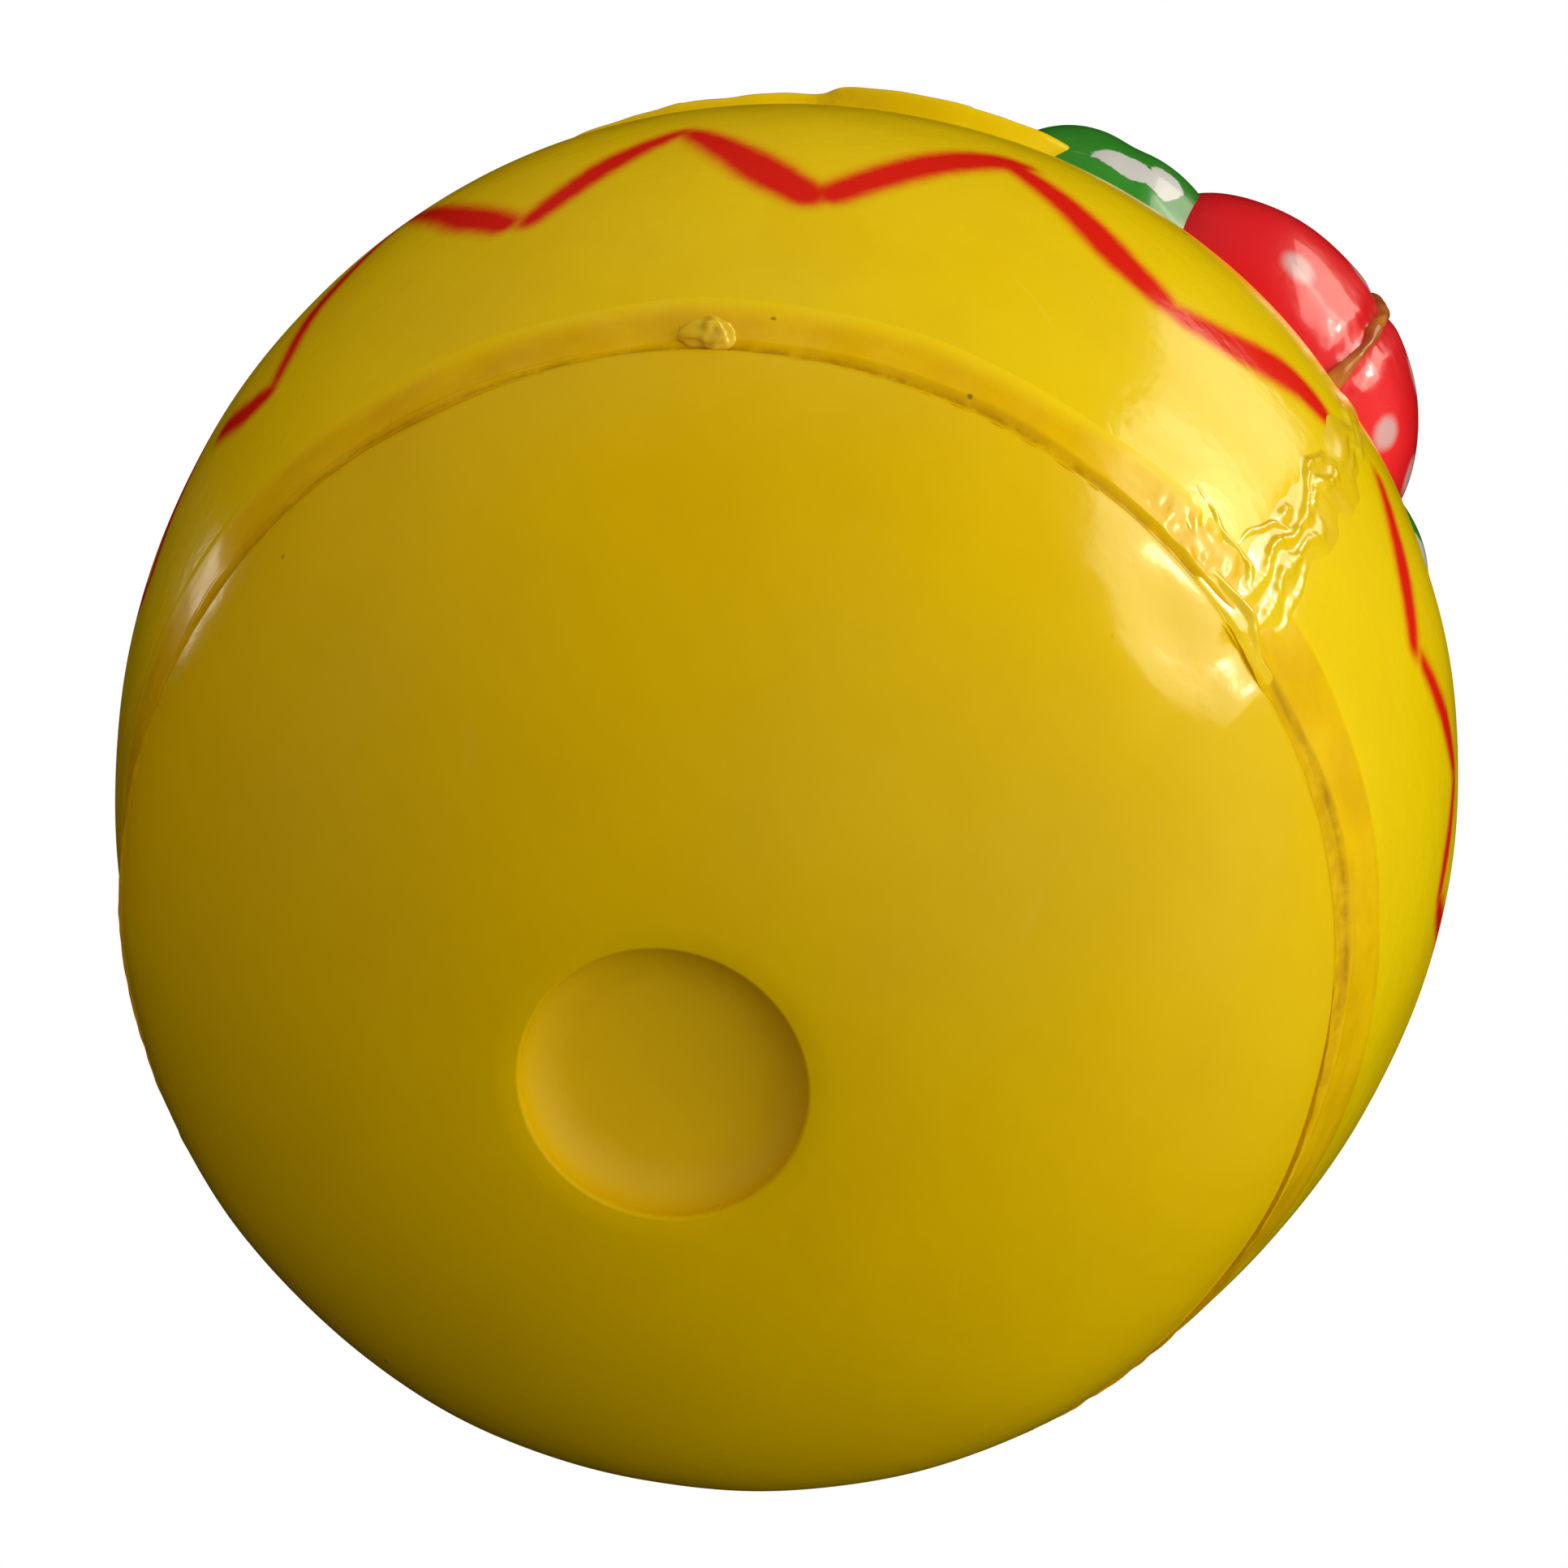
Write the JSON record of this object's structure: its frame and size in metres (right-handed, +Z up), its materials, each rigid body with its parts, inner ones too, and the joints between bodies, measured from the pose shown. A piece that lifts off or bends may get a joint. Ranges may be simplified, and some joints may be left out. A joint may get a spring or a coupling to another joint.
{
  "type": "weighted tumbler ball",
  "caption": "Hollow round tumbler ball with a recessed base, cemented shells, a raised shoulder trim, inner ballast and a swinging chime striker.",
  "frame": {"origin": "centre of the flat ring round the base recess, in the plane the ball rests on", "axes": "+Z up through the crown, -Y towards the front, where the upright seam and the red cap are"},
  "size_m": [0.1154, 0.1197, 0.119],
  "materials": {
    "shell_yellow": "smooth glossy moulded plastic, slightly scuffed",
    "cement_amber": "glossy dried cement, slightly wavy",
    "cap_red": "glossy red with soft white spots",
    "leaf_green": "glossy green with an off-white patch",
    "ballast_iron": "rough cast",
    "chime_brass": "turned brass",
    "steel": "plain steel wire and strip",
    "spacer_plastic": "natural moulded plastic"
  },
  "bodies": {
    "ball": {"back_seam_strip": "cement_amber", "ballast": "ballast_iron", "ballast_screw": "steel", "ballast_washer": "steel", "base_shell": "shell_yellow", "cement_nub": "cement_amber", "chime_block": "chime_brass", "chime_frame": "steel", "chime_rod_1": "steel", "chime_rod_2": "steel", "chime_rod_3": "steel", "chime_rod_4": "steel", "crown": "shell_yellow", "frame_rivets": "steel", "front_seam_strip": "cement_amber", "green_leaf_left": "leaf_green", "green_leaf_right": "leaf_green", "pin_spacer_back": "spacer_plastic", "pin_spacer_front": "spacer_plastic", "pivot_pin": "steel", "red_cap_left": "cap_red", "red_cap_ridge": "cement_amber", "red_cap_right": "cap_red", "ruffle_left": "shell_yellow", "ruffle_right": "shell_yellow", "seam_band": "cement_amber", "upper_shell_left": "shell_yellow", "upper_shell_right": "shell_yellow"},
    "striker": {"striker_arm": "steel", "striker_bob": "chime_brass"}
  },
  "joints": [
    {"name": "striker_swing", "type": "hinge", "parent": "ball", "child": "striker", "pos_m": [0, 0, 0.0782], "axis": [0, 1, 0], "range_deg": [-14.5, 14.5]}
  ]
}
